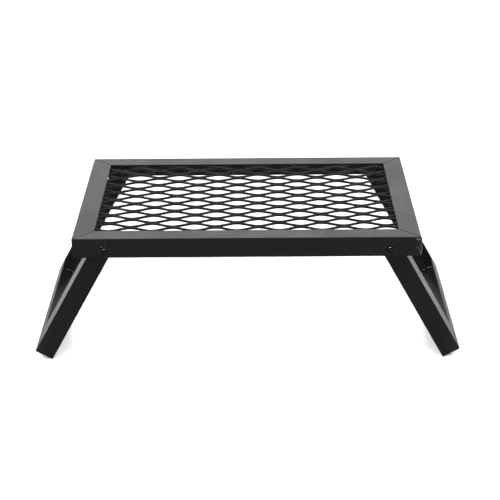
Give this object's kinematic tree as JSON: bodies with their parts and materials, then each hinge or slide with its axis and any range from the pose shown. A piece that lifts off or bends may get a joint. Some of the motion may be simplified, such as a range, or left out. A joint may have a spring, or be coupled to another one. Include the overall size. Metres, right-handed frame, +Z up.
{
  "type": "folding camp grill",
  "caption": "Campfire cooking grate: mitred steel angle frame with raised expanded mesh, standing on two U-shaped legs that fold flat beneath it.",
  "frame": {"origin": "on the floor, below the centre of the grill, with the legs open", "axes": "+X along the long side of the grate, +Z up; the hinge axes run along Y"},
  "size_m": [0.7702, 0.411, 0.2458],
  "materials": {
    "satin_black_paint": "satin black heat-resistant powder coat",
    "mesh_black_paint": "satin black heat-resistant coat over sheared mesh strands",
    "painted_weld": "black coat over rippled weld beads",
    "black_screw": "glossy black-coated steel screw",
    "black_hardware": "black-coated steel hardware"
  },
  "bodies": {
    "grill_top": {"front_rail": "satin_black_paint", "rear_rail": "satin_black_paint", "left_rail": "satin_black_paint", "right_rail": "satin_black_paint", "expanded_mesh": "mesh_black_paint", "mesh_tack_welds": "painted_weld", "inner_corner_welds": "painted_weld", "front_right_corner_weld": "painted_weld", "front_left_hinge_screw": "black_screw", "front_left_spacer_sleeve": "black_hardware", "front_left_hinge_washer": "black_hardware", "front_left_lock_nut": "black_hardware", "front_right_hinge_screw": "black_screw", "front_right_spacer_sleeve": "black_hardware", "front_right_hinge_washer": "black_hardware", "front_right_lock_nut": "black_hardware", "rear_left_hinge_screw": "black_screw", "rear_left_spacer_sleeve": "black_hardware", "rear_left_hinge_washer": "black_hardware", "rear_left_lock_nut": "black_hardware", "rear_right_hinge_screw": "black_screw", "rear_right_spacer_sleeve": "black_hardware", "rear_right_hinge_washer": "black_hardware", "rear_right_lock_nut": "black_hardware"},
    "left_leg": {"left_front_leg": "satin_black_paint", "left_rear_leg": "satin_black_paint", "left_foot_bar": "satin_black_paint", "left_foot_welds": "painted_weld"},
    "right_leg": {"right_front_leg": "satin_black_paint", "right_rear_leg": "satin_black_paint", "right_foot_bar": "satin_black_paint", "right_foot_welds": "painted_weld"}
  },
  "joints": [
    {"name": "left_leg_fold", "type": "hinge", "parent": "grill_top", "child": "left_leg", "pos_m": [-0.251, 0, 0.22352], "axis": [0, -1, 0], "range_deg": [0, 118.4]},
    {"name": "right_leg_fold", "type": "hinge", "parent": "grill_top", "child": "right_leg", "pos_m": [0.251, 0, 0.22352], "axis": [0, 1, 0], "range_deg": [0, 118.4]}
  ]
}
